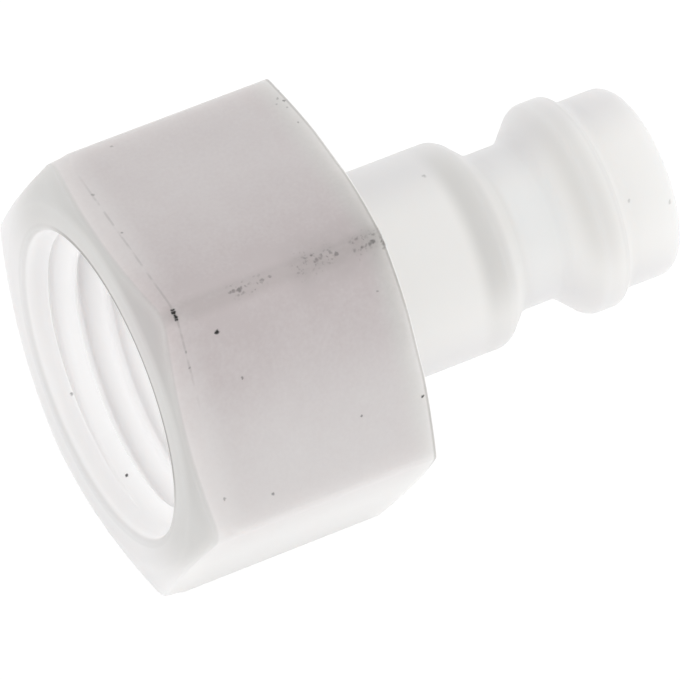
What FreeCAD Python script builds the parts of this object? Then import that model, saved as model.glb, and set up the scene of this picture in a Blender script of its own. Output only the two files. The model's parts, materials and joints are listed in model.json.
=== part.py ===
import FreeCAD, Part
import math
import os

import Sketcher
from FreeCAD import Placement, Rotation, Vector

# A coupling nipple, moulded in one piece of plastic: a hexagon with a female pipe thread
# at one end, and the plug of a quick coupling at the other, with one bore through both.
#
# Frame: the origin is the centre of the mouth, on the axis. +X runs along the axis to the
# plug's nose, and +Z is the normal of the flat that is on top when the nipple lies on
# the opposite one. Lengths are in millimetres and angles in degrees.

# Driving dimensions

SIZES = [
    ("thread_diameter", "13.157", "major diameter of the G 1/4 thread, where the bore's wall is"),
    ("mouth_lead", "0.22", "45 degree lead-in at the mouth of the thread"),
    ("web", "1.7", "wall between the bottom of the threaded bore and the hexagon's far face"),
    ("flat_wall", "1.9215", "wall between the thread and a flat, for 17 mm across flats"),
    ("hex_length", "10.7", "from the mouth to the hexagon's far face"),
    ("hex_corner_round", "0.4", "radius along the hexagon's six corners"),
    ("lip_length", "1.1", "from the mouth to the mould's parting line round the flats"),
    ("lip_draft", "4.5", "slope of the flats between the parting line and the mouth"),
    ("lip_corner_round", "1.1", "radius of the corners between the parting line and the mouth"),
    ("bevel_angle", "15", "slope of the turned bevel at each end of the hexagon"),
    ("mouth_bevel_inset", "0.58", "how far inside the flats the bevel at the mouth starts"),
    ("far_bevel_margin", "0.1", "how far outside the flats the bevel at the far face starts"),
    ("flow_bore_diameter", "5.0", "bore of the plug, its nominal width"),
    ("flow_bore_lead", "0.3", "45 degree lead-out of the bore at the nose"),
    ("groove_wall", "0.9", "wall of the plug at its locking groove"),
    ("shank_rise", "1.1", "height of the shank over the groove's floor"),
    ("collar_rise", "1.2", "height of the collar over the groove's floor"),
    ("nose_drop", "0.5", "how much lower the nose is than the collar"),
    ("shank_length", "6.25", "from the hexagon's far face to the shoulder"),
    ("groove_length", "1.9", "floor of the locking groove, between its two slopes"),
    ("collar_length", "1.0", "top of the collar, between its two slopes"),
    ("nose_length", "2.4", "from the foot of the collar to the end of the nose"),
    ("plug_slope", "45", "slope of the shoulder and of both sides of the collar"),
    ("root_bevel", "0.3", "45 degree bevel where the shank leaves the hexagon"),
    ("shoulder_round", "0.3", "radius on the edge of the shoulder"),
    ("groove_blend", "0.8", "fillets at the two ends of the groove's floor"),
    ("collar_round", "0.2", "radius on the two edges of the collar"),
    ("collar_blend", "0.8", "fillet at the front foot of the collar"),
    ("nose_round", "0.6", "radius on the end of the nose"),
]

document = FreeCAD.newDocument("coupling_nipple")
sheet = document.addObject("Spreadsheet::Sheet", "sizes")
for row, (alias, value, meaning) in enumerate(SIZES, start=1):
    sheet.set(f"A{row}", alias)
    sheet.set(f"B{row}", value)
    sheet.setAlias(f"B{row}", alias)
    sheet.set(f"C{row}", meaning)
document.recompute()

# Places that follow from the driving dimensions, as expressions

thread_radius = "(sizes.thread_diameter / 2)"
flat_radius = f"({thread_radius} + sizes.flat_wall)"
lip_radius = f"({flat_radius} - sizes.lip_length * tan(sizes.lip_draft))"
mouth_bevel_radius = f"({flat_radius} - sizes.mouth_bevel_inset)"
far_bevel_radius = f"({flat_radius} + sizes.far_bevel_margin)"
clear_of_corners = f"({flat_radius} * 2)"
mouth_bevel_depth = f"(({clear_of_corners} - {mouth_bevel_radius}) * tan(sizes.bevel_angle))"
far_bevel_depth = f"(({clear_of_corners} - {far_bevel_radius}) * tan(sizes.bevel_angle))"
thread_bottom = "(sizes.hex_length - sizes.web)"

flow_radius = "(sizes.flow_bore_diameter / 2)"
groove_radius = f"({flow_radius} + sizes.groove_wall)"
shank_radius = f"({groove_radius} + sizes.shank_rise)"
collar_radius = f"({groove_radius} + sizes.collar_rise)"
nose_radius = f"({collar_radius} - sizes.nose_drop)"

shoulder_start = "(sizes.hex_length + sizes.shank_length)"
groove_start = f"({shoulder_start} + sizes.shank_rise / tan(sizes.plug_slope))"
groove_end = f"({groove_start} + sizes.groove_length)"
collar_start = f"({groove_end} + sizes.collar_rise / tan(sizes.plug_slope))"
collar_end = f"({collar_start} + sizes.collar_length)"
nose_start = f"({collar_end} + sizes.nose_drop / tan(sizes.plug_slope))"
nose_end = f"({nose_start} + sizes.nose_length)"


def number(expression):
    """Work out an expression with the sheet's present sizes."""
    return float(body.evalExpression(expression))


def new_sketch(name, plane_role):
    """Add a sketch to the body, flat on one of the body's own origin planes."""
    planes = [part for part in body.Origin.OriginFeatures if part.Role == plane_role]
    sketch = body.newObject("Sketcher::SketchObject", name)
    sketch.AttachmentSupport = (planes[0], "")
    sketch.MapMode = "FlatFace"
    return sketch


def bind(sketch, constraint, expression):
    """Add a constraint to a sketch and tie its value to an expression."""
    index = sketch.addConstraint(constraint)
    sketch.setExpression(f"Constraints[{index}]", expression)


# Sketches

def rounded_hexagon(name, place, flat_distance, corner_round):
    """Draw a hexagon with rounded corners across the axis, one flat up, at a place along it."""
    sketch = new_sketch(name, "YZ_Plane")
    sketch.AttachmentOffset = Placement(Vector(0, 0, number(place)), Rotation())
    sketch.setExpression("AttachmentOffset.Base.z", place)
    apothem = number(flat_distance)
    radius = number(corner_round)
    half_side = (apothem - radius) * math.tan(math.radians(30))
    centre_distance = (apothem - radius) / math.cos(math.radians(30))
    for side in range(6):
        facing = math.radians(30 + 60 * side)
        outward = Vector(math.cos(facing), math.sin(facing), 0)
        along = Vector(-math.sin(facing), math.cos(facing), 0)
        middle = outward * apothem
        sketch.addGeometry(Part.LineSegment(middle - along * half_side, middle + along * half_side))
        turn = facing + math.radians(30)
        centre = Vector(math.cos(turn), math.sin(turn), 0) * centre_distance
        circle = Part.Circle(centre, Vector(0, 0, 1), radius)
        sketch.addGeometry(Part.ArcOfCircle(circle, facing, facing + math.radians(60)))
    for side in range(6):
        line = 2 * side
        arc = line + 1
        next_line = (line + 2) % 12
        facing = 30 + 60 * side
        sketch.addConstraint(Sketcher.Constraint("Tangent", line, 2, arc, 1))
        sketch.addConstraint(Sketcher.Constraint("Tangent", arc, 2, next_line, 1))
        sketch.addConstraint(Sketcher.Constraint("Angle", line, math.radians(facing + 90)))
        bind(sketch, Sketcher.Constraint("Distance", -1, 1, line, apothem), flat_distance)
        bind(sketch, Sketcher.Constraint("Radius", arc, radius), corner_round)
    return sketch


def turned_outline(name, corners):
    """Draw a closed outline of straight sides beside the axis, each corner a place and a radius."""
    sketch = new_sketch(name, "XY_Plane")
    points = [Vector(number(place), number(radius), 0) for place, radius in corners]
    for index, point in enumerate(points):
        sketch.addGeometry(Part.LineSegment(point, points[(index + 1) % len(points)]))
    for index, (place, radius) in enumerate(corners):
        following = (index + 1) % len(corners)
        sketch.addConstraint(Sketcher.Constraint("Coincident", index, 2, following, 1))
        if place == "0":
            sketch.addConstraint(Sketcher.Constraint("PointOnObject", index, 1, -2))
        else:
            bind(sketch, Sketcher.Constraint("DistanceX", -1, 1, index, 1, points[index].x), place)
        if radius == "0":
            sketch.addConstraint(Sketcher.Constraint("PointOnObject", index, 1, -1))
        else:
            bind(sketch, Sketcher.Constraint("DistanceY", -1, 1, index, 1, points[index].y), radius)
    return sketch


# Features

def turned_feature(kind, name, sketch):
    """Revolve a sketch a full turn about the axis, as added or as removed material."""
    feature = body.newObject(kind, name)
    feature.Profile = sketch
    feature.ReferenceAxis = (sketch, ["H_Axis"])
    feature.Angle = 360
    return feature


def rounded_rings(name, radius, rings):
    """Round the circular edges of the body that lie at the given places and radii."""
    document.recompute()
    base = body.Tip
    places = [(number(place), number(ring_radius)) for place, ring_radius in rings]
    edges = []
    for index, edge in enumerate(base.Shape.Edges, start=1):
        if not isinstance(edge.Curve, Part.Circle) or not edge.isClosed():
            continue
        centre = edge.Curve.Center
        on_axis = math.hypot(centre.y, centre.z) < 1e-4
        for place, ring_radius in places:
            here = abs(centre.x - place) < 1e-4 and abs(edge.Curve.Radius - ring_radius) < 1e-4
            if on_axis and here:
                edges.append(f"Edge{index}")
    if len(edges) != len(rings):
        raise RuntimeError(f"{name} found {len(edges)} edges and needs {len(rings)}")
    fillet = body.newObject("PartDesign::Fillet", name)
    fillet.Base = (base, edges)
    fillet.Radius = number(radius)
    fillet.setExpression("Radius", radius)
    return fillet


# The nipple

body = document.addObject("PartDesign::Body", "nipple")
body.Label = "nipple"

# The hexagon, straight from its parting line to its far face

grip_outline = rounded_hexagon("grip_outline", "sizes.lip_length", flat_radius, "sizes.hex_corner_round")
grip = body.newObject("PartDesign::Pad", "grip")
grip.Profile = grip_outline
grip.setExpression("Length", "sizes.hex_length - sizes.lip_length")

# The lip, which leans in from the parting line to the mouth and has softer corners

lip_base = rounded_hexagon("lip_base", "sizes.lip_length", flat_radius, "sizes.lip_corner_round")
lip_front = rounded_hexagon("lip_front", "0 * sizes.lip_length", lip_radius, "sizes.lip_corner_round")
lip = body.newObject("PartDesign::AdditiveLoft", "lip")
lip.Profile = lip_base
lip.Sections = [lip_front]
lip.Ruled = True

# The turned bevels that take the corners off the hexagon's two ends

mouth_bevel_outline = turned_outline("mouth_bevel_outline", [
    ("0", mouth_bevel_radius),
    ("0", clear_of_corners),
    (mouth_bevel_depth, clear_of_corners),
])
mouth_bevel = turned_feature("PartDesign::Groove", "mouth_bevel", mouth_bevel_outline)

far_bevel_outline = turned_outline("far_bevel_outline", [
    ("sizes.hex_length", far_bevel_radius),
    ("sizes.hex_length", clear_of_corners),
    (f"sizes.hex_length - {far_bevel_depth}", clear_of_corners),
])
far_bevel = turned_feature("PartDesign::Groove", "far_bevel", far_bevel_outline)

# The plug: shank, shoulder, locking groove, collar and nose

plug_outline = turned_outline("plug_outline", [
    ("sizes.hex_length", "0"),
    ("sizes.hex_length", f"{shank_radius} + sizes.root_bevel"),
    ("sizes.hex_length + sizes.root_bevel", shank_radius),
    (shoulder_start, shank_radius),
    (groove_start, groove_radius),
    (groove_end, groove_radius),
    (collar_start, collar_radius),
    (collar_end, collar_radius),
    (nose_start, nose_radius),
    (nose_end, nose_radius),
    (nose_end, "0"),
])
plug = turned_feature("PartDesign::Revolution", "plug", plug_outline)

# The bore: lead-in, threaded length, flow bore and lead-out

bore_outline = turned_outline("bore_outline", [
    ("0", "0"),
    ("0", f"{thread_radius} + sizes.mouth_lead"),
    ("sizes.mouth_lead", thread_radius),
    (thread_bottom, thread_radius),
    (thread_bottom, flow_radius),
    (f"{nose_end} - sizes.flow_bore_lead", flow_radius),
    (nose_end, f"{flow_radius} + sizes.flow_bore_lead"),
    (nose_end, "0"),
])
bore = turned_feature("PartDesign::Groove", "bore", bore_outline)

# The rounds and fillets of the plug

shoulder_round = rounded_rings("shoulder_round_fillet", "sizes.shoulder_round", [
    (shoulder_start, shank_radius),
])
groove_blend = rounded_rings("groove_blend_fillet", "sizes.groove_blend", [
    (groove_start, groove_radius),
    (groove_end, groove_radius),
])
collar_round = rounded_rings("collar_round_fillet", "sizes.collar_round", [
    (collar_start, collar_radius),
    (collar_end, collar_radius),
])
collar_blend = rounded_rings("collar_blend_fillet", "sizes.collar_blend", [
    (nose_start, nose_radius),
])
nose_round = rounded_rings("nose_round_fillet", "sizes.nose_round", [
    (nose_end, nose_radius),
])

# Checks

document.recompute()
for item in document.Objects:
    if "Invalid" in item.State or "Error" in item.State:
        raise RuntimeError(f"{item.Name} failed: {item.State}")
for sketch in document.findObjects("Sketcher::SketchObject"):
    if not sketch.FullyConstrained:
        raise RuntimeError(f"{sketch.Name} isn't fully constrained")
for cut, before in ((mouth_bevel, lip), (far_bevel, mouth_bevel), (bore, plug)):
    if cut.Shape.Volume >= before.Shape.Volume - 0.01:
        raise RuntimeError(f"{cut.Name} removed nothing")
if body.Shape.isNull() or not body.Shape.isValid() or len(body.Shape.Solids) != 1:
    raise RuntimeError("the nipple isn't one valid solid")

# One file for the one piece

os.makedirs("parts", exist_ok=True)
body.Shape.exportStep(f"parts/{body.Label}.step")
box = body.Shape.BoundBox
centre = body.Shape.Solids[0].CenterOfMass
print(f"{body.Label}: {body.Shape.Volume:.1f} cubic mm, {len(body.Shape.Faces)} faces")
print(f"from {box.XMin:.3f} {box.YMin:.3f} {box.ZMin:.3f} to {box.XMax:.3f} {box.YMax:.3f} {box.ZMax:.3f}")
print(f"centre of mass {centre.x:.3f} {centre.y:.3f} {centre.z:.3f}")
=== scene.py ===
# %% [markdown]
# A coupling nipple, moulded in one piece of natural white plastic. One end is a hexagon for a
# spanner, with a female pipe thread inside it. The other end is the plug of a quick coupling: a
# shank, a locking groove, a collar and a nose. This lesson builds it the way a machinist would
# think of it: turn a blank, mill the six flats, tap the thread. Then it gives the plastic its
# milky finish, its painted shade and its specks of dirt.

# %% The frame
import json
import math

import bpy
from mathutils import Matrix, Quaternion, Vector

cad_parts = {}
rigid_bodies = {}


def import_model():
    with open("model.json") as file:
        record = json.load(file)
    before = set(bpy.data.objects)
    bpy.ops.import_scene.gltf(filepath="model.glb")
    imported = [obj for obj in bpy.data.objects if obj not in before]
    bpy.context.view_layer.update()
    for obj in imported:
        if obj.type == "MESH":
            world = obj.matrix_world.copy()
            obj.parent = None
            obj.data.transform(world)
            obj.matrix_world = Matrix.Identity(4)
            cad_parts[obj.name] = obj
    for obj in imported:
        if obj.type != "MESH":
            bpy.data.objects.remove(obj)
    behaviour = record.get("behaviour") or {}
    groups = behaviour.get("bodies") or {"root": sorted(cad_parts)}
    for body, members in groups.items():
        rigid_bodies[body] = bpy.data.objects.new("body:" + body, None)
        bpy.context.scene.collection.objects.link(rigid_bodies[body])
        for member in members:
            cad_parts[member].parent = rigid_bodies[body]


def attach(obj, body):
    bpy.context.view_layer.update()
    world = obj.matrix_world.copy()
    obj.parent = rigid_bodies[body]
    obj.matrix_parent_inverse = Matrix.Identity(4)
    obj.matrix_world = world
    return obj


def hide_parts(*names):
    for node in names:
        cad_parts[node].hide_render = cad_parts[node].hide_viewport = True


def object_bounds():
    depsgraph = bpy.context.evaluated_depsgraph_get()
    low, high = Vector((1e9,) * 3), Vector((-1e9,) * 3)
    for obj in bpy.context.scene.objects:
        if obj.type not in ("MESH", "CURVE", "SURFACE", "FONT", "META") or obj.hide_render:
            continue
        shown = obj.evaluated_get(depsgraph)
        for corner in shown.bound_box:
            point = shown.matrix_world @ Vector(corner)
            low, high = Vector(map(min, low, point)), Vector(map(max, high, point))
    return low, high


for default_object in list(bpy.data.objects):
    bpy.data.objects.remove(default_object)

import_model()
cad_low, cad_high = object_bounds()
print("frame in mm:", [round(value * 1000, 2) for value in (*cad_low, *cad_high)])

# %% [markdown]
# The real sizes are in millimetres, as on a drawing. The nipple is modelled in
# millimetres too, because Blender's merge and bevel tools are easier to judge there,
# and the finished mesh is scaled to metres once. The overall length and the distance
# from the axis to a flat come from the frame, so the looks follow the frame's own size.
# Two points closer than JOINED count as one, and AROUND is the number of steps in a turn.

# %% Sizes
METRES = 0.001
JOINED = 1e-4
AROUND = 192

flat = cad_high.z / METRES
nose_end = cad_high.x / METRES
floor_height = cad_low.z

half_corner = math.radians(30)
hex_length = 10.7
hex_corner_round = 0.4
lip_length = 1.1
lip_draft = math.radians(4.5)
lip_corner_round = 1.1
parting_blend = 0.25
bevel_slope = math.tan(math.radians(15))
mouth_bevel_radius = flat - 0.58
mouth_bevel_round = 0.5
far_bevel_radius = flat + 0.1
clear_of_corners = flat * 1.25

mouth_lead = 0.22
mouth_round = 0.12
thread_major = 13.157 / 2
thread_depth = 9.0

flow_radius = 2.5
flow_lead = 0.3
shank_radius = 4.5
groove_radius = 3.4
collar_radius = 4.6
nose_radius = 4.1
root_fillet = 0.35
shoulder_start = 16.95
shoulder_round = 0.7
groove_start = 18.05
groove_end = 19.95
groove_round = 0.8
collar_start = 21.15
collar_start_round = 0.45
collar_stop = 22.15
collar_stop_round = 0.2
nose_start = 22.65
nose_root_round = 0.8
nose_tip_round = 0.6

# %% [markdown]
# The camera comes first, because everything is judged through it. A long lens far away
# gives the photo's flat perspective. It is placed by what it looks at, how far round and
# how high it stands, and a small roll.

# %% The camera
camera_target = Vector((9.34, -3.42, 1.34)) * METRES
camera_azimuth = math.radians(-28.53)
camera_elevation = math.radians(47.43)
camera_distance = 405.1 * METRES
camera_roll = math.radians(0.65)
camera_lens = 529.5
nearest_seen, farthest_seen = 0.01, 20

toward_camera = Vector((
    math.sin(camera_azimuth) * math.cos(camera_elevation),
    -math.cos(camera_azimuth) * math.cos(camera_elevation),
    math.sin(camera_elevation),
))
camera_data = bpy.data.cameras.new("camera")
camera_data.lens = camera_lens
camera_data.clip_start = nearest_seen
camera_data.clip_end = farthest_seen
camera = bpy.data.objects.new("camera", camera_data)
bpy.context.scene.collection.objects.link(camera)
camera.location = camera_target + toward_camera * camera_distance
look = (-toward_camera).to_track_quat("-Z", "Y")
camera.rotation_mode = "QUATERNION"
camera.rotation_quaternion = look @ Quaternion((0, 0, 1), camera_roll)
bpy.context.scene.camera = camera


# %% [markdown]
# Edit mode works on whatever is selected, so a few small helpers keep each step tidy. One
# clears every selection before a new primitive is added, and one names what was added.
# The main one selects vertices, edges or faces by a rule about their place, which is how
# a step is aimed without a mouse. The last three close a skin whose ends have met, apply a
# modifier, and delete a tool that has done its work.

# %% Helpers for edit mode
def deselect_everything():
    """Leave edit mode and select nothing."""
    if bpy.context.object and bpy.context.object.mode != "OBJECT":
        bpy.ops.object.mode_set(mode="OBJECT")
    for thing in bpy.context.view_layer.objects:
        thing.select_set(False)


def name_active(name):
    """Name the object that was just added, and its mesh."""
    piece = bpy.context.object
    piece.name = name
    piece.data.name = name
    return piece


def select_in_edit(piece, kind, rule):
    """Select the vertices, edges or faces of a piece that a rule picks, and open edit mode."""
    if piece.mode != "OBJECT":
        bpy.ops.object.mode_set(mode="OBJECT")
    deselect_everything()
    piece.select_set(True)
    bpy.context.view_layer.objects.active = piece
    bpy.ops.object.mode_set(mode="EDIT")
    bpy.ops.mesh.select_mode(type=kind)
    bpy.ops.mesh.select_all(action="DESELECT")
    bpy.ops.object.mode_set(mode="OBJECT")
    mesh = piece.data
    elements = {"VERT": mesh.vertices, "EDGE": mesh.edges, "FACE": mesh.polygons}[kind]
    count = 0
    for element in elements:
        if rule(mesh, element):
            element.select = True
            count += 1
    bpy.ops.object.mode_set(mode="EDIT")
    return count


def close_skin():
    """Merge the points that meet, turn all faces outward, and leave edit mode."""
    bpy.ops.mesh.select_all(action="SELECT")
    bpy.ops.mesh.remove_doubles(threshold=JOINED)
    bpy.ops.mesh.normals_make_consistent(inside=False)
    bpy.ops.object.mode_set(mode="OBJECT")


def apply_modifier(piece, kind, **settings):
    """Add a modifier to a piece with the given settings, and apply it."""
    deselect_everything()
    piece.select_set(True)
    bpy.context.view_layer.objects.active = piece
    modifier = piece.modifiers.new(kind.lower(), kind)
    for key, value in settings.items():
        setattr(modifier, key, value)
    bpy.ops.object.modifier_apply(modifier=modifier.name)


def remove(*pieces):
    """Delete tools of the trade that aren't part of the object."""
    for piece in pieces:
        bpy.data.objects.remove(piece)


# %% [markdown]
# A turned part is an outline spun about its axis. The outline starts as one vertex and
# is extruded corner by corner, as it would be by hand, and then the corners that are
# round on the real part are bevelled. A corner's bevel width is its radius times the
# tangent of half the turn, which makes a true arc of that radius.

# %% The turning tools
def near_any(point, places):
    """Say whether a point lies at one of the places."""
    return any((point - place).length < JOINED for place in places)


def draw_outline(name, corners, closed, step_degrees=9):
    """Extrude an outline through its corners, each a place, a radius and a rounding."""
    deselect_everything()
    bpy.ops.mesh.primitive_plane_add(size=1, location=(0, 0, 0))
    piece = name_active(name)
    bpy.ops.object.mode_set(mode="EDIT")
    bpy.ops.mesh.select_mode(type="VERT")
    bpy.ops.mesh.select_all(action="SELECT")
    bpy.ops.mesh.merge(type="CENTER")
    points = [Vector((place, radius, 0)) for place, radius, _ in corners]
    bpy.ops.transform.translate(value=points[0])
    for before, after in zip(points, points[1:]):
        bpy.ops.mesh.extrude_vertices_move(TRANSFORM_OT_translate={"value": after - before})
    if closed:
        ends = (points[0], points[-1])
        select_in_edit(piece, "VERT", lambda mesh, vertex: near_any(vertex.co, ends))
        bpy.ops.mesh.edge_face_add()
    for index, (_, _, rounding) in enumerate(corners):
        if rounding > 0:
            round_corner(piece, points, index, rounding, step_degrees)
    bpy.ops.object.mode_set(mode="OBJECT")
    return piece


def round_corner(piece, points, index, rounding, step_degrees):
    """Bevel one corner of an outline to an arc."""
    here = points[index]
    arriving = here - points[index - 1]
    leaving = points[(index + 1) % len(points)] - here
    turn = arriving.angle(leaving)
    steps = max(2, round(math.degrees(turn) / step_degrees))
    select_in_edit(piece, "VERT", lambda mesh, vertex: near_any(vertex.co, (here,)))
    width = rounding * math.tan(turn / 2)
    bpy.ops.mesh.bevel(offset=width, segments=steps, profile=0.5, affect="VERTICES")


def spin_outline(piece, steps):
    """Spin an outline a full turn about the X axis and close its seam."""
    select_in_edit(piece, "VERT", lambda mesh, vertex: True)
    bpy.ops.mesh.spin(
        steps=steps, angle=math.tau, center=(0, 0, 0), axis=(1, 0, 0), use_auto_merge=True
    )
    close_skin()


# %% [markdown]
# The blank is everything that is round: the two bevelled faces of the hexagon, the plug
# and the bore. Its hexagon end is still a fat disc. The flats are cut from it afterwards,
# so that the bevels meet them in the curved lines that a real hexagon has.

# %% The turned blank
drill_radius = thread_major - 1.1
drill_end = thread_depth - 0.1
entry_radius = thread_major + 0.03
entry_end = 0.95
entry_round = 0.9
mouth_lead_round = 0.25
flow_lead_round = 0.08
flow_round = 0.15
far_bevel_x = hex_length - (clear_of_corners - far_bevel_radius) * bevel_slope
mouth_bevel_x = (clear_of_corners - mouth_bevel_radius) * bevel_slope

outside = [
    (0, thread_major + mouth_lead, mouth_round),
    (0, mouth_bevel_radius, mouth_bevel_round),
    (mouth_bevel_x, clear_of_corners, 0),
    (far_bevel_x, clear_of_corners, 0),
    (hex_length, far_bevel_radius, 0),
    (hex_length, shank_radius, root_fillet),
    (shoulder_start, shank_radius, shoulder_round),
    (groove_start, groove_radius, groove_round),
    (groove_end, groove_radius, groove_round),
    (collar_start, collar_radius, collar_start_round),
    (collar_stop, collar_radius, collar_stop_round),
    (nose_start, nose_radius, nose_root_round),
    (nose_end, nose_radius, nose_tip_round),
]
inside = [
    (nose_end, flow_radius + flow_lead, flow_lead_round),
    (nose_end - flow_lead, flow_radius, flow_round),
    (drill_end, flow_radius, 0),
    (drill_end, drill_radius, 0),
    (entry_end + entry_radius - drill_radius, drill_radius, 0),
    (entry_end, entry_radius, entry_round),
    (mouth_lead, entry_radius, mouth_lead_round),
]
blank = draw_outline("nipple_body", outside + inside, closed=True)
spin_outline(blank, AROUND)
print("turned blank:", len(blank.data.polygons), "faces")


# %% [markdown]
# The hexagon bar is the six flats. It is drawn as rounded hexagons, one after another
# along the axis, and bridged into a closed skin. At the mould's parting line the corners
# turn softer over a quarter of a millimetre, and from there the flats lean in to the mouth.

# %% The hexagon bar
def add_hexagon_ring(place, across, corner_round):
    """Add one rounded hexagon across the axis at a place, one flat up."""
    sharp_corner = across / math.cos(half_corner)
    bpy.ops.mesh.select_all(action="DESELECT")
    bpy.ops.mesh.primitive_circle_add(
        vertices=6, radius=sharp_corner, location=(place, 0, 0), rotation=(0, math.pi / 2, 0)
    )
    bpy.ops.mesh.bevel(
        offset=corner_round * math.tan(half_corner),
        segments=7, profile=0.5, affect="VERTICES"
    )


def lies_across(mesh, element, places):
    """Say whether all of an edge or face lies at one of the places along the axis."""
    along = [mesh.vertices[corner].co.x for corner in element.vertices]
    return all(min(abs(x - place) for place in places) < JOINED for x in along)


overshoot = 1
rings = [
    (-overshoot, flat - (lip_length + overshoot) * math.tan(lip_draft), lip_corner_round),
    (lip_length, flat, lip_corner_round),
    (lip_length + parting_blend, flat, hex_corner_round),
    (nose_end + overshoot, flat, hex_corner_round),
]
deselect_everything()
bpy.ops.mesh.primitive_plane_add(size=1)
bar = name_active("hexagon_bar")
bpy.ops.object.mode_set(mode="EDIT")
bpy.ops.mesh.delete(type="VERT")
bpy.ops.mesh.select_mode(type="EDGE")
for index, (place, across, corner_round) in enumerate(rings):
    add_hexagon_ring(place, across, corner_round)
    if index > 0:
        pair = (rings[index - 1][0], place)
        select_in_edit(bar, "EDGE", lambda mesh, edge: lies_across(mesh, edge, pair))
        bpy.ops.mesh.bridge_edge_loops()
for end in (rings[0][0], rings[-1][0]):
    select_in_edit(bar, "EDGE", lambda mesh, edge: lies_across(mesh, edge, (end,)))
    bpy.ops.mesh.edge_face_add()
bpy.ops.mesh.select_all(action="SELECT")
bpy.ops.mesh.normals_make_consistent(inside=False)
bpy.ops.object.mode_set(mode="OBJECT")
print("bar:", len(bar.data.vertices), "vertices", [round(side, 3) for side in bar.dimensions])

# %% [markdown]
# Milling the flats is one Boolean intersection: what is inside both the turned blank and
# the hexagon bar stays. The exact solver keeps the curved edges crisp and the skin closed.

# %% Mill the flats
apply_modifier(blank, "BOOLEAN", operation="INTERSECT", object=bar, solver="EXACT")
remove(bar)
print("milled:", len(blank.data.vertices), "vertices")

# %% [markdown]
# Moulded plastic has no knife edges. The curved edges where the bevels meet the flats are the
# sharpest on the part, and those at the mouth get a small round. They are found by their angle,
# and then only those near the outside of the hexagon and near the mouth are kept, because the
# bore's own corners stay as they were turned.

# %% Soften the edges
edge_round = 0.12
sharp_angle = 55
skin_depth = 0.3
lip_reach = 2


def select_sharp(piece, degrees, rule):
    """Select the edges sharper than an angle that a rule about their place picks."""
    select_in_edit(piece, "EDGE", lambda mesh, edge: False)
    bpy.ops.mesh.edges_select_sharp(sharpness=math.radians(degrees))
    bpy.ops.object.mode_set(mode="OBJECT")
    sharp = {edge.index for edge in piece.data.edges if edge.select}
    return select_in_edit(
        piece, "EDGE", lambda mesh, edge: edge.index in sharp and rule(mesh, edge)
    )


def lies_on_lip(mesh, edge):
    """Say whether an edge is out at the hexagon's surface, near the mouth."""
    ends = [mesh.vertices[corner].co for corner in edge.vertices]
    return all(
        math.hypot(end.y, end.z) > flat - skin_depth and end.x < lip_reach for end in ends
    )


count = select_sharp(blank, sharp_angle, lies_on_lip)
bpy.ops.mesh.bevel(
    offset=edge_round, segments=3, profile=0.5, affect="EDGES", clamp_overlap=False
)
close_skin()
print("softened:", count, "edges")

# %% [markdown]
# The tap is the thread's own shape as a solid. It starts from the outline of one pitch of a
# pipe thread, whose flanks stand at 55 degrees with rounded tops and roots. The Screw
# modifier winds that outline round the axis, one pitch along for each turn, which is
# right-handed here. Two straight cuts close its ends.

# %% The tap
thread_pitch = 1.337
thread_height = 0.856
flank_angle = math.radians(55)
thread_round = 0.184
ridge_at = 1.909
pitches_before = 3
tap_start = 1.0
turns = 10
tap_steps = 96

thread_mean = thread_major - thread_height / 2
apex = thread_pitch / 4 / math.tan(flank_angle / 2)
start = ridge_at - pitches_before * thread_pitch
one_pitch = [
    (start - thread_pitch / 4, thread_mean, 0),
    (start, thread_mean - apex, thread_round),
    (start + thread_pitch / 2, thread_mean + apex, thread_round),
    (start + 3 * thread_pitch / 4, thread_mean, 0),
]
tap = draw_outline("tap", one_pitch, closed=False, step_degrees=25)
apply_modifier(
    tap, "SCREW", axis="X", angle=math.tau, screw_offset=thread_pitch, iterations=turns,
    steps=tap_steps, render_steps=tap_steps, use_merge_vertices=True, merge_threshold=1e-3,
)
for cut, outward in ((tap_start, -1), (thread_depth, 1)):
    select_in_edit(tap, "FACE", lambda mesh, face: True)
    bpy.ops.mesh.bisect(
        plane_co=(cut, 0, 0), plane_no=(outward, 0, 0), use_fill=True, clear_outer=True
    )
close_skin()
print("tap:", len(tap.data.polygons), "faces", [round(side, 2) for side in tap.dimensions])

# %% [markdown]
# Cutting the thread is a Boolean difference with the tap. The bore was turned a little
# narrower than the thread's ridges, so nothing of it is left but the thread, and the cone
# behind the mouth lets the first ridge fade in as a real one does. Where the tap's edges
# cross the blank's, some points land on each other, so the skin is closed once more.

# %% Cut the thread
apply_modifier(blank, "BOOLEAN", operation="DIFFERENCE", object=tap, solver="EXACT")
remove(tap)
select_in_edit(blank, "VERT", lambda mesh, vertex: True)
close_skin()
print("tapped:", len(blank.data.vertices), "vertices")

# %% [markdown]
# The mesh is finished: it is scaled from millimetres to metres about the origin, and
# shaded smooth wherever faces meet at a small angle. The weighted normals let the large
# flats keep their own direction, so the rounds beside them don't make them look pillowy.

# %% Scale and shade
deselect_everything()
blank.select_set(True)
bpy.context.view_layer.objects.active = blank
bpy.ops.transform.resize(value=(METRES, METRES, METRES), center_override=(0, 0, 0))
bpy.ops.object.transform_apply(location=True, rotation=True, scale=True)
bpy.ops.object.shade_smooth_by_angle(angle=math.radians(35))
apply_modifier(blank, "WEIGHTED_NORMAL", mode="FACE_AREA", weight=50, keep_sharp=True)
print("body in mm:", [round(side / METRES, 2) for side in blank.dimensions])


# %% [markdown]
# The material is worked out from the place on the part, in millimetres. Two small classes
# keep that readable. A Signal is one socket, and sums on it add Math nodes. A Paint is one
# material, and its add method makes any other node from its kind, settings and sockets.

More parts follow.
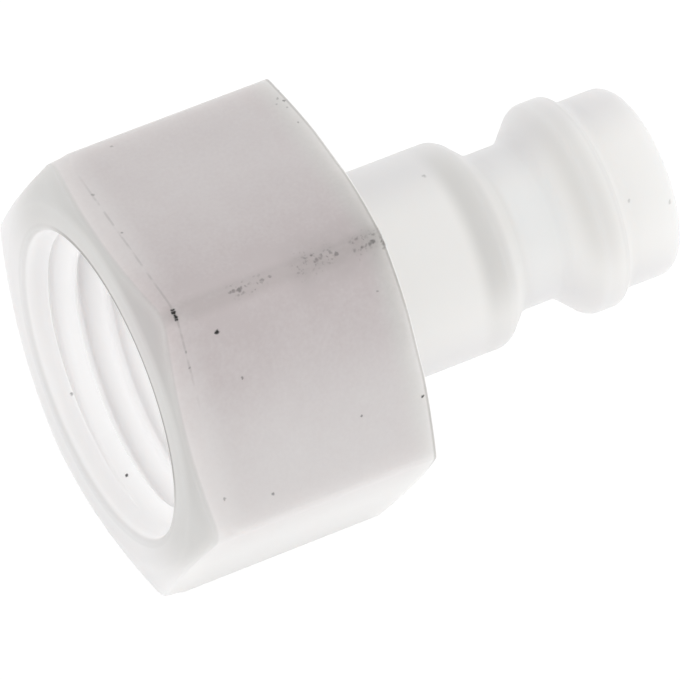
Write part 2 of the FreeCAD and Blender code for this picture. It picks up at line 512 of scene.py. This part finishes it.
# %% Shader sums
class Signal:
    """A socket that can be used in sums."""

    def __init__(self, paint, socket):
        self.paint = paint
        self.socket = socket

    def combine(self, operation, first, second):
        """Put two values through a Math node."""
        return self.paint.add("ShaderNodeMath", {"operation": operation}, {0: first, 1: second})

    def __add__(self, other):
        return self.combine("ADD", self, other)

    def __radd__(self, other):
        return self.combine("ADD", other, self)

    def __sub__(self, other):
        return self.combine("SUBTRACT", self, other)

    def __rsub__(self, other):
        return self.combine("SUBTRACT", other, self)

    def __mul__(self, other):
        return self.combine("MULTIPLY", self, other)

    def __rmul__(self, other):
        return self.combine("MULTIPLY", other, self)

    def larger(self, other):
        """Take the larger of two values."""
        return self.combine("MAXIMUM", self, other)


class Paint:
    """A material's nodes, made one at a time."""

    def __init__(self, owner):
        owner.use_nodes = True
        self.tree = owner.node_tree
        self.tree.nodes.clear()

    def add(self, kind, settings, inputs, output=0):
        """Make a node, link or set its inputs, and return one of its outputs."""
        node = self.tree.nodes.new(kind)
        for key, value in settings.items():
            setattr(node, key, value)
        for key, value in inputs.items():
            socket = node.inputs[key]
            if isinstance(value, Signal):
                self.tree.links.new(value.socket, socket)
            else:
                socket.default_value = value
        return Signal(self, node.outputs[output]) if len(node.outputs) else None

    def fade(self, value, none_at, full_at):
        """Rise smoothly from 0 to 1 as a value goes from none_at to full_at."""
        return self.add(
            "ShaderNodeMapRange", {"interpolation_type": "SMOOTHSTEP"},
            {"Value": value, "From Min": none_at, "From Max": full_at},
        )

    def blend(self, factor, first, second):
        """Mix two colours by a factor."""
        return self.add(
            "ShaderNodeMix", {"data_type": "RGBA"}, {0: factor, 6: first, 7: second}, output=2
        )

    def clouds(self, place, scale, detail):
        """Soft noise, with about scale lumps to the millimetre."""
        return self.add(
            "ShaderNodeTexNoise", {}, {"Vector": place, "Scale": scale, "Detail": detail}
        )

    def distance(self, place, spot):
        """The distance from a place to a fixed spot, in millimetres."""
        return self.add(
            "ShaderNodeVectorMath", {"operation": "DISTANCE"}, {0: place, 1: spot}, output=1
        )


def rgb(red, green, blue):
    """Turn a colour as seen on a screen, from 0 to 255, into a linear one."""
    levels = [value / 255 for value in (red, green, blue)]
    return (*((level + 0.055) ** 2.4 / 1.055 ** 2.4 for level in levels), 1)


# %% [markdown]
# Every tint and every speck depends on where it is on the part. So the material starts
# with the place in millimetres: how far along, across and up it is, and how far from the
# axis. The near corner is the one between the two flats that face the photo's camera. How
# far it is, and how far a place lies toward it, steers most of the shading. The two
# bevels of the hexagon are cones, so their distances are worked out from the bevel's
# slope. Three sizes of noise keep the tints from looking painted.

# %% The place on the part
plastic = bpy.data.materials.new("plastic")
paint = Paint(plastic)
metres = paint.add("ShaderNodeTexCoord", {}, {}, output="Object")
place = paint.add(
    "ShaderNodeVectorMath", {"operation": "SCALE"}, {0: metres, "Scale": 1 / METRES}
)
along = paint.add("ShaderNodeSeparateXYZ", {}, {0: place}, output="X")
across = paint.add("ShaderNodeSeparateXYZ", {}, {0: place}, output="Y")
height = paint.add("ShaderNodeSeparateXYZ", {}, {0: place}, output="Z")
flattened = paint.add(
    "ShaderNodeVectorMath", {"operation": "MULTIPLY"}, {0: place, 1: (0, 1, 1)}
)
from_axis = paint.distance(flattened, (0, 0, 0))
near_corner = (0, -flat * math.tan(half_corner), flat)
from_corner = paint.distance(flattened, near_corner)
toward_corner = height * math.cos(half_corner) - across * math.sin(half_corner)

past_mouth_bevel = from_axis.larger(mouth_bevel_radius) - mouth_bevel_radius
behind_bevel = along - past_mouth_bevel * bevel_slope
past_far_bevel = from_axis.larger(far_bevel_radius) - far_bevel_radius
to_far_edge = hex_length - past_far_bevel * bevel_slope - along
on_hexagon = paint.fade(to_far_edge, 0.01, 0.05)
on_lip = paint.fade(behind_bevel, 0.22, 0.04)
off_lip = 1 - on_lip
bore_skin, bore_inside = 6.70, 6.58
in_bore = (
    paint.fade(from_axis, bore_skin, bore_inside) * paint.fade(along, hex_length, thread_depth)
)

mottle = paint.clouds(place, 0.35, 3)
fine_mottle = paint.clouds(place, 1.6, 2)
speckle = paint.clouds(place, 6, 2)
print("place on the part:", len(paint.tree.nodes), "nodes")

# %% [markdown]
# Natural white plastic is milky: light goes in a little way and comes out again, so the shadows
# inside the bore stay bright. The hexagon's thick walls are painted greyer and a touch warmer
# than its thin ones, most of all round the near corner, and this grey is painted shade. It is
# strongest at the corner and fades away from it, down the near flat and toward the mouth, and
# low down it is lightened as painted light from the glowing floor. The lip has a paler painted
# shade of its own.

# %% The painted shade of the hexagon
thick_wall_shade = rgb(236, 235, 234)
darkest_shade = rgb(204, 196, 196)
edge_shade = rgb(206, 204, 202)
lip_shade = rgb(209, 208, 206)
lip_light = rgb(235, 234, 234)

# Painted shade: the grey deepens toward the near corner, is lighter low down as painted light
# from the floor, and lighter toward the mouth.
deep = 0.68 * paint.fade(from_corner, 13.2, 8.2)
deepest = 0.34 * paint.fade(from_corner, 6.5, 0.0) * (1 - 0.30 * on_lip)
lower = 1 - 0.34 * paint.fade(height, 5.5, 1.0) * off_lip
rising = 0.12 + 0.20 * paint.fade(from_corner, 0.6, 4.0)
forward = 1 - rising * paint.fade(along, 2.2, 0.9) * off_lip
uneven = 0.86 + 0.28 * mottle + 0.34 * (speckle - 0.5) + 0.16 * (fine_mottle - 0.5)
shaded = (deep + deepest) * lower * forward * uneven
low_lip = on_lip * paint.fade(from_corner, 15.4, 10.4)

# Painted shade: toward the far edge the darkest grey turns more neutral, and the lip's paler
# painted shade darkens near the corner.
far_edge = paint.fade(along, 9.2, 10.3)
dark_side = paint.blend(far_edge, darkest_shade, edge_shade)
corner_lip = paint.fade(from_corner, 4.2, 0.8)
near_lip = paint.blend(0.5 * corner_lip, lip_shade, darkest_shade)
# The hexagon's tone with its painted shade laid over it.
wall = paint.blend(
    shaded.larger(0.9 * low_lip),
    paint.blend(on_lip, thick_wall_shade, lip_light),
    paint.blend(on_lip, dark_side, near_lip),
)
print("with the hexagon's tint:", len(paint.tree.nodes), "nodes")

# %% [markdown]
# On the plug the shoulder and the collar are thicker than the groove between them, so they
# carry a soft band of painted shade, clearest where they face the near corner. The collar's far
# edge has a thin one too. The groove and the nose are painted lighter, as light coming through
# their thin walls, the sides turned away from the near corner are painted darker as shade, and
# the far face of the hexagon gets the thick wall's painted shade. The bore has one plain tint.

# %% The painted shade of the plug, and the bore's tint
thin_wall_light = rgb(247, 246, 244)
plug_wall = rgb(243, 242, 240)
plug_shade = rgb(233, 232, 232)
band_shade = rgb(221, 220, 218)
bore_wall = rgb(233, 232, 232)

shoulder_band = (
    paint.fade(along, shoulder_start - 1.65, shoulder_start - 0.85)
    * (1 - 0.6 * paint.fade(along, shoulder_start - 0.05, shoulder_start + 0.45))
    * paint.fade(along, groove_start + 0.25, groove_start - 0.15)
)
collar_band = (
    paint.fade(along, collar_start - 1.05, collar_start - 0.25)
    * paint.fade(along, collar_stop + 0.15, collar_stop - 0.75)
)
collar_edge = (
    paint.fade(along, collar_stop - 0.20, collar_stop - 0.05)
    * paint.fade(along, collar_stop + 0.15, collar_stop + 0.03)
)
# Painted shade: the bands are darkest where they face the near corner, and the sides turned
# away from it are painted darker.
faces_corner = 0.35 + 0.65 * paint.fade(toward_corner, 2.2, 4.2)
turned_away = paint.fade(toward_corner, 3.2, 0.6).larger(paint.fade(across, -1.4, 1.4))
bands = faces_corner * (shoulder_band + 0.55 * collar_band) + 0.35 * collar_edge

# Painted light and shade: the thin groove and nose are painted lighter, and the far face of the
# hexagon takes the thick wall's painted shade.
out_of_groove = paint.fade(from_axis, groove_radius + 0.4, collar_radius)
past_collar = paint.fade(from_axis, collar_radius + 0.1, collar_radius + 0.7)
plug = paint.blend(out_of_groove, thin_wall_light, plug_wall)
plug = paint.blend(turned_away, plug, plug_shade)
plug = paint.blend(bands, plug, band_shade)
plug = paint.blend(past_collar, plug, thick_wall_shade)
outer = paint.blend(on_hexagon, plug, wall)
# The tint holds the painted shade of the hexagon and the plug, and the bore's plain tint.
tint = paint.blend(in_bore, outer, bore_wall)
print("with the plug's tint:", len(paint.tree.nodes), "nodes")

# %% [markdown]
# The dirt is what makes a plain white part look real. The larger specks are listed one by one,
# each by how far along the part it is and how many degrees round from the top, toward the near
# side. How far out it lies is worked out from the hexagon's own sizes, and only for a speck on
# a turned surface is it given. The last two values of each are its size in millimetres and how
# dark it is. A little noise shifts the places, so that no speck is a perfect disc.

# %% The specks
flat_specks = [
    (10.35, -22.0, 0.07, 0.60), (10.30, -14.1, 0.06, 0.50), (3.05, -27.4, 0.06, 0.30),
    (1.20, 0.3, 0.06, 0.40), (1.15, -15.5, 0.07, 0.30), (10.20, -23.5, 0.07, 0.35),
    (10.00, -21.9, 0.06, 0.30), (10.45, -25.5, 0.06, 0.30), (10.30, -19.7, 0.06, 0.30),
    (2.60, 37.4, 0.11, 1.00), (10.40, 74.5, 0.08, 0.90), (7.70, 73.6, 0.07, 0.60),
    (3.20, 84.0, 0.08, 0.55), (3.15, 51.1, 0.07, 0.50), (1.15, 80.8, 0.07, 0.40),
    (9.60, 42.3, 0.07, 0.40), (1.10, 39.2, 0.07, 0.40), (1.10, 43.5, 0.06, 0.40),
]
corner_specks = [
    (1.10, 28.9, 0.07, 0.90), (1.10, 29.7, 0.09, 1.00), (1.10, 30.6, 0.09, 1.00),
    (1.10, 31.4, 0.08, 0.90), (3.55, 29.9, 0.07, 0.30), (3.70, 30.0, 0.09, 0.40),
    (3.95, 30.1, 0.10, 0.50), (4.05, 29.8, 0.07, 0.40), (4.25, 29.8, 0.05, 0.30),
    (5.00, 30.0, 0.08, 0.35), (5.35, 29.8, 0.08, 0.35), (7.05, 28.6, 0.08, 0.30),
    (7.35, 28.5, 0.07, 0.30), (7.60, 30.0, 0.07, 0.30), (8.10, 29.5, 0.08, 0.35),
    (8.30, 30.4, 0.10, 0.45), (9.45, 31.1, 0.07, 0.35), (9.60, 31.1, 0.08, 0.35),
    (9.80, 31.0, 0.09, 0.45), (9.95, 30.9, 0.11, 0.50), (10.40, 32.1, 0.12, 0.40),
    (10.30, 33.0, 0.08, 0.30),
]
ridge_reach = 6.23
entry_reach = 6.52
turned_specks = [
    (15.25, shank_radius, -5.9, 0.10, 0.30),
    (22.85, nose_radius, 49.4, 0.09, 0.20),
    (24.60, nose_radius, 59.3, 0.10, 0.25),
    (1.35, ridge_reach, 180.7, 0.09, 0.90),
    (0.95, entry_reach, 219.6, 0.08, 0.55),
]
wander = 0.20


def hexagon_reach(along, turn):
    """How far from the axis the hexagon's skin is, at an angle round it in degrees."""
    on_lip_side = along < lip_length + parting_blend / 2
    corner_round = lip_corner_round if on_lip_side else hex_corner_round
    off_flat = math.radians(abs((turn + 30) % 60 - 30))
    off_corner = half_corner - off_flat
    if flat * math.tan(off_flat) < (flat - corner_round) * math.tan(half_corner):
        return flat / math.cos(off_flat)
    middle = (flat - corner_round) / math.cos(half_corner)
    aside = middle * math.sin(off_corner)
    return middle * math.cos(off_corner) + math.sqrt(corner_round ** 2 - aside ** 2)


def around(along, reach, turn):
    """The place at a distance from the axis, turned from the top toward the near side."""
    angle = math.radians(turn)
    return (along, -reach * math.sin(angle), reach * math.cos(angle))


specks = [
    (around(x, hexagon_reach(x, turn), turn), size, darkness)
    for x, turn, size, darkness in flat_specks + corner_specks
] + [
    (around(x, reach, turn), size, darkness)
    for x, reach, turn, size, darkness in turned_specks
]
noise = paint.add(
    "ShaderNodeTexNoise", {}, {"Vector": place, "Scale": 6.0, "Detail": 2.0}, output="Color"
)
shift = paint.add(
    "ShaderNodeVectorMath", {"operation": "SUBTRACT"}, {0: noise, 1: (0.5, 0.5, 0.5)}
)
shaken = paint.add(
    "ShaderNodeVectorMath", {"operation": "MULTIPLY_ADD"},
    {0: shift, 1: (wander, wander, wander), 2: place},
)
dirt = 0
for middle, size, darkness in specks:
    spot = darkness * paint.fade(paint.distance(shaken, middle), size * 1.25, size * 0.45)
    dirt = spot.larger(dirt)
print("specks:", len(specks))


# %% [markdown]
# The finest specks gather along the near corner, where a box of parts rubs, and come from
# a cell pattern: a cell is a dot or is left out by a random value of its own.

# %% The rubbed corner
def scatter(size, share):
    """Dots in cells of a size, in a share of the cells, as a mask."""
    settings = {"Vector": shaken, "Scale": 1 / size}
    from_middle = paint.add("ShaderNodeTexVoronoi", {}, settings)
    colours = paint.add("ShaderNodeTexVoronoi", {}, settings, output="Color")
    chance = paint.add("ShaderNodeSeparateColor", {}, {0: colours}, output="Red")
    return paint.fade(from_middle, 0.50, 0.10) * paint.fade(chance, 1 - share, 1.15 - share)


near_line = paint.fade(from_corner, 0.50, 0.22)
rubbed = (
    0.8 * paint.fade(along, 3.3, 3.8) * paint.fade(along, 5.3, 4.8)
    + paint.fade(along, 6.2, 6.7) * paint.fade(along, 8.4, 7.9)
    + paint.fade(along, 8.7, 9.2)
)
wide_line = paint.fade(from_corner, 0.95, 0.35) * paint.fade(along, 6.2, 6.8)
smudge = paint.fade(from_corner, 1.9, 0.1) * paint.fade(along, 5.6, 7.2) * fine_mottle
fine_dirt = rubbed * (
    (scatter(0.15, 0.55) * near_line).larger(scatter(0.24, 0.45) * near_line)
    .larger(0.6 * scatter(0.13, 0.35) * wide_line)
)
print("with the fine dirt:", len(paint.tree.nodes), "nodes")

# %% [markdown]
# The parting line has picked up a trace of grey. Thin grey lines also run just inside the rim
# of the mouth and along the far edge of the flats, and the grey along the edge of the bevel and
# along the near corner is painted shade, which at the corner damps the rounded edge's
# highlight. Each is a thin line at a fixed distance from some edge, kept to the side where the
# photo shows it. The lines and the specks are then laid over the tint one after another, with
# the share that each covers.

# %% The soiled and shaded lines
grey = rgb(120, 117, 114)
dust = rgb(60, 54, 52)
soot = rgb(34, 31, 30)
parting_place = lip_length + 0.01
rim_radius = 6.84
bevel_edge = 0.06


def off_by(value):
    """How far a value is from zero, either way."""
    return paint.add("ShaderNodeMath", {"operation": "ABSOLUTE"}, {0: value})


on_outside = paint.fade(from_axis, 8.0, 8.3)
# Painted shade along the near corner, which damps the rounded corner's highlight.
corner_line = paint.fade(from_corner, 0.75, 0.05) * off_lip
parting = (
    paint.fade(off_by(along - parting_place), 0.07, 0.02) * on_outside
    * paint.fade(fine_mottle, 0.35, 0.55)
    * paint.fade(toward_corner, 5.2, 6.6) * paint.fade(height, 4.6, 6.2)
)
# A darker grey line just inside the rim of the mouth, strongest on the near side.
rim = (
    paint.fade(off_by(from_axis - rim_radius), 0.22, 0.09) * paint.fade(along, 0.3, 0.15)
    * (0.12 + 0.88 * paint.fade(toward_corner, 2.6, 5.0))
)
# A darker grey line along the far edge of the flats, on the near side.
brink = (
    paint.fade(to_far_edge, 0.17, 0.06) * on_hexagon * on_outside
    * paint.fade(toward_corner, 2.0, 5.0)
)
# Painted shade along the edge where the mouth's bevel meets the flats, on the near side.
bevel_line = (
    paint.fade(off_by(behind_bevel - bevel_edge), 0.16, 0.04) * on_outside
    * paint.fade(toward_corner, 4.0, 7.0)
)

# The tint with its painted shade gets the dirt and the grey lines, two of which are painted
# shade.
soiled_and_shaded = tint
for mask, share, colour in (
    (smudge, 0.30, grey),
    (corner_line, 0.22, grey),
    (brink, 0.50, grey),
    (bevel_line, 0.16, grey),
    (parting, 0.22, grey),
    (rim, 0.75, grey),
    (fine_dirt, 0.42, dust),
    (dirt, 1, soot),
):
    soiled_and_shaded = paint.blend(mask * share, soiled_and_shaded, colour)
print("soiled:", len(paint.tree.nodes), "nodes")

# %% [markdown]
# The surface is satin: a fine mould texture, and a slow waviness where the thick walls
# sank a little as they cooled. Both only tilt the light, so they go into a Bump node.
# Daylight also comes through the wall into the threaded bore, and a faint glow stands in
# for it.

# %% The surface
GLOW = 0.235
LIGHT_DEPTH = 1.2 * METRES

grain = paint.clouds(place, 7, 3)
sink = paint.clouds(place, 0.5, 1)
relief = grain * 0.004 + sink * 0.03
bumps = paint.add(
    "ShaderNodeBump", {}, {"Height": relief, "Strength": 0.5, "Distance": METRES}
)
shine = 0.34 + 0.16 * paint.clouds(place, 2.2, 2)
daylight = 0.52 + 0.20 * paint.fade(along, 1.2, 4.5) + 0.28 * paint.fade(height, 0.0, -5.5)
bottom = 0.4 + 0.6 * paint.fade(along, 8.8, 8.2)
through_wall = in_bore * daylight * (1 - dirt) * bottom
shining = paint.blend(through_wall, (0, 0, 0, 1), (1, 1, 1, 1))
surface = paint.add(
    "ShaderNodeBsdfPrincipled",
    {},
    {
        "Base Color": soiled_and_shaded,
        "Emission Color": shining,
        "Emission Strength": GLOW,
        "Roughness": shine,
        "Normal": bumps,
        "IOR": 1.5,
        "Subsurface Weight": 1.0,
        "Subsurface Radius": (1.0, 0.95, 0.92),
        "Subsurface Scale": LIGHT_DEPTH,
    },
)
paint.add("ShaderNodeOutputMaterial", {}, {"Surface": surface})
blank.data.materials.clear()
blank.data.materials.append(plastic)
print("plastic:", len(paint.tree.nodes), "nodes")

# %% [markdown]
# The photo was taken on a light table: a pale floor that glows a little, so the part's
# undersides are bright and it has hardly any shadow. The floor is one large plane. To the
# camera it is nearly plain white, with just enough of a matt surface mixed in to keep the
# soft contact shadow.

# %% The floor
FLOOR_SIZE = 2.0
FLOOR_GLOW = 0.285
FLOOR_WHITE = 1.12
PLAIN_SHARE = 0.8

deselect_everything()
bpy.ops.mesh.primitive_plane_add(size=FLOOR_SIZE, location=(0, 0, 0))
floor = name_active("floor")
bpy.ops.object.mode_set(mode="EDIT")
bpy.ops.mesh.select_all(action="SELECT")
bpy.ops.transform.translate(value=(0, 0, floor_height))
bpy.ops.object.mode_set(mode="OBJECT")

floor_material = bpy.data.materials.new("light_table")
table = Paint(floor_material)
to_camera = table.add("ShaderNodeLightPath", {}, {}, output="Is Camera Ray")
matt = table.add("ShaderNodeBsdfDiffuse", {}, {"Color": (0.9, 0.9, 0.9, 1)})
glow = table.add("ShaderNodeEmission", {}, {"Strength": FLOOR_GLOW})
white = table.add("ShaderNodeEmission", {}, {"Strength": FLOOR_WHITE})
lit = table.add("ShaderNodeAddShader", {}, {0: matt, 1: glow})
seen = table.add("ShaderNodeMixShader", {}, {0: PLAIN_SHARE, 1: matt, 2: white})
shown = table.add("ShaderNodeMixShader", {}, {0: to_camera, 1: lit, 2: seen})
table.add("ShaderNodeOutputMaterial", {}, {"Surface": shown})
floor.data.materials.append(floor_material)

# %% [markdown]
# The room is a plain white tent with even light. What lights the part and what is seen
# behind it are two values, so that either can change alone. One soft, weak lamp from the
# left reaches into the mouth, and a stronger one from high on the right keeps the plug
# bright.

# %% The light
SKY = 1.0
BACKDROP = 1.0

world = bpy.data.worlds.new("tent")
bpy.context.scene.world = world
tent = Paint(world)
camera_ray = tent.add("ShaderNodeLightPath", {}, {}, output="Is Camera Ray")
glossy_ray = tent.add("ShaderNodeLightPath", {}, {}, output="Is Glossy Ray")
clear_ray = tent.add("ShaderNodeLightPath", {}, {}, output="Is Transmission Ray")
sky = tent.add("ShaderNodeBackground", {}, {"Strength": SKY})
backdrop = tent.add("ShaderNodeBackground", {}, {"Strength": BACKDROP})
looking = camera_ray.larger(glossy_ray).larger(clear_ray)
air = tent.add("ShaderNodeMixShader", {}, {0: looking, 1: sky, 2: backdrop})
tent.add("ShaderNodeOutputWorld", {}, {"Surface": air})


def add_lamp(name, toward, strength, spread):
    """Add a soft, distant lamp that shines from a direction."""
    lamp = bpy.data.lights.new(name, "SUN")
    lamp.energy = strength
    lamp.angle = math.radians(spread)
    holder = bpy.data.objects.new(name, lamp)
    holder.rotation_mode = "QUATERNION"
    holder.rotation_quaternion = Vector(toward).to_track_quat("Z", "Y")
    bpy.context.scene.collection.objects.link(holder)


add_lamp("lamp_left", (-1.0, -0.15, 0.45), 0.10, 70)
add_lamp("lamp_right", (0.6, -0.1, 0.8), 0.30, 70)
bpy.context.scene.view_settings.view_transform = "Standard"
print("sky and lamps:", SKY, [lamp.name for lamp in bpy.data.lights])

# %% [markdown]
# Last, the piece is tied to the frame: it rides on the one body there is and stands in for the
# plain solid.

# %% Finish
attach(blank, "root")
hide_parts("nipple")
